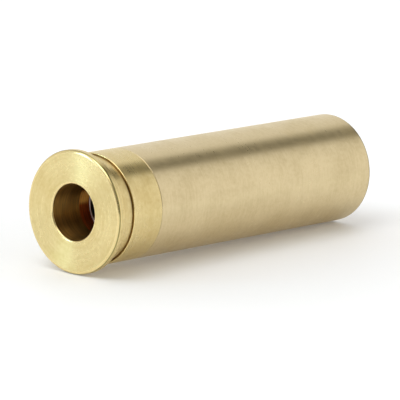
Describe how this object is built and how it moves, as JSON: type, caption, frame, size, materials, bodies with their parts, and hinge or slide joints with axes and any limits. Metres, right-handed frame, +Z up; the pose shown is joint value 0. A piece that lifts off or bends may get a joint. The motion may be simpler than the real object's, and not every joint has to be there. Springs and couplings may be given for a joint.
{
  "type": "laser collimator",
  "caption": "Brass laser collimator shaped like a rimmed shotgun cartridge, with a screw-off battery cap at the rear and a beam window at the front.",
  "frame": {"origin": "centre of the rear bore's mouth, on the rear face of the rim", "axes": "+X along the case towards the end where the beam leaves; +Z up as it lies; +Y completes the frame"},
  "size_m": [0.0704, 0.0222, 0.0222],
  "materials": {
    "cap_brass": "fine turned, lacquered",
    "tube_brass": "drawn, lightly satin",
    "module_brass": "machined",
    "seal_rubber": "matte, slightly greased",
    "spring_steel": "nickel-plated wire",
    "sleeve_plastic": "matte",
    "cell_steel": "nickel-plated, satin",
    "cell_nylon": "matte",
    "cell_filling": "pressed powder",
    "board_laminate": "solder mask",
    "black_component": "moulded",
    "amber_component": "moulded",
    "gold_plate": "gold-plated",
    "diode_chip": "cleaved",
    "lens_glass": "coated glass",
    "window_glass": "coated glass",
    "black_metal": "blackened"
  },
  "bodies": {
    "tube": {"body_tube": "tube_brass", "battery_sleeve": "sleeve_plastic", "module_barrel": "module_brass", "board_spring": "gold_plate", "contact_disc": "board_laminate", "driver_board": "board_laminate", "board_transistor": "black_component", "board_resistors": "black_component", "board_capacitor": "amber_component", "diode_leads": "gold_plate", "diode_stem": "gold_plate", "diode_chip": "diode_chip", "diode_can": "gold_plate", "diode_window": "lens_glass", "diode_holder": "module_brass", "lens_spring": "spring_steel", "lens_holder": "module_brass", "collimating_lens": "lens_glass", "lens_ring": "black_metal", "window_seal": "seal_rubber", "window": "window_glass", "window_ring": "module_brass"},
    "contact_spring": {"contact_spring": "spring_steel"},
    "cap_seal": {"cap_seal": "seal_rubber"},
    "rear_cap": {"rear_cap": "cap_brass"},
    "cell_1": {"cell_1_can": "cell_steel", "cell_1_filling": "cell_filling", "cell_1_gasket": "cell_nylon", "cell_1_cap": "cell_steel"},
    "cell_2": {"cell_2_can": "cell_steel", "cell_2_filling": "cell_filling", "cell_2_gasket": "cell_nylon", "cell_2_cap": "cell_steel"},
    "cell_3": {"cell_3_can": "cell_steel", "cell_3_filling": "cell_filling", "cell_3_gasket": "cell_nylon", "cell_3_cap": "cell_steel"}
  },
  "joints": [
    {"name": "cap_lift", "type": "slide", "parent": "tube", "child": "contact_spring", "axis": [-1, 0, 0], "range_m": [0, 0.06]},
    {"name": "cap_advance", "type": "slide", "parent": "contact_spring", "child": "cap_seal", "axis": [-1, 0, 0], "range_m": [0, 0.00701]},
    {"name": "cap_turn", "type": "hinge", "parent": "cap_seal", "child": "rear_cap", "pos_m": [0, 0, 0], "axis": [-1, 0, 0], "range_deg": [0, 2520]},
    {"name": "cell_1_slide", "type": "slide", "parent": "tube", "child": "cell_1", "axis": [-1, 0, 0], "range_m": [0, 0.033]},
    {"name": "cell_2_slide", "type": "slide", "parent": "tube", "child": "cell_2", "axis": [-1, 0, 0], "range_m": [0, 0.027]},
    {"name": "cell_3_slide", "type": "slide", "parent": "tube", "child": "cell_3", "axis": [-1, 0, 0], "range_m": [0, 0.021]}
  ],
  "couplings": [
    {"joint": "cap_advance", "follows": "cap_turn", "m_per_rad": 0.00015915},
    {"joint": "cell_1_slide", "follows": "cap_lift", "ratio": 0.55},
    {"joint": "cell_2_slide", "follows": "cap_lift", "ratio": 0.45},
    {"joint": "cell_3_slide", "follows": "cap_lift", "ratio": 0.35}
  ]
}
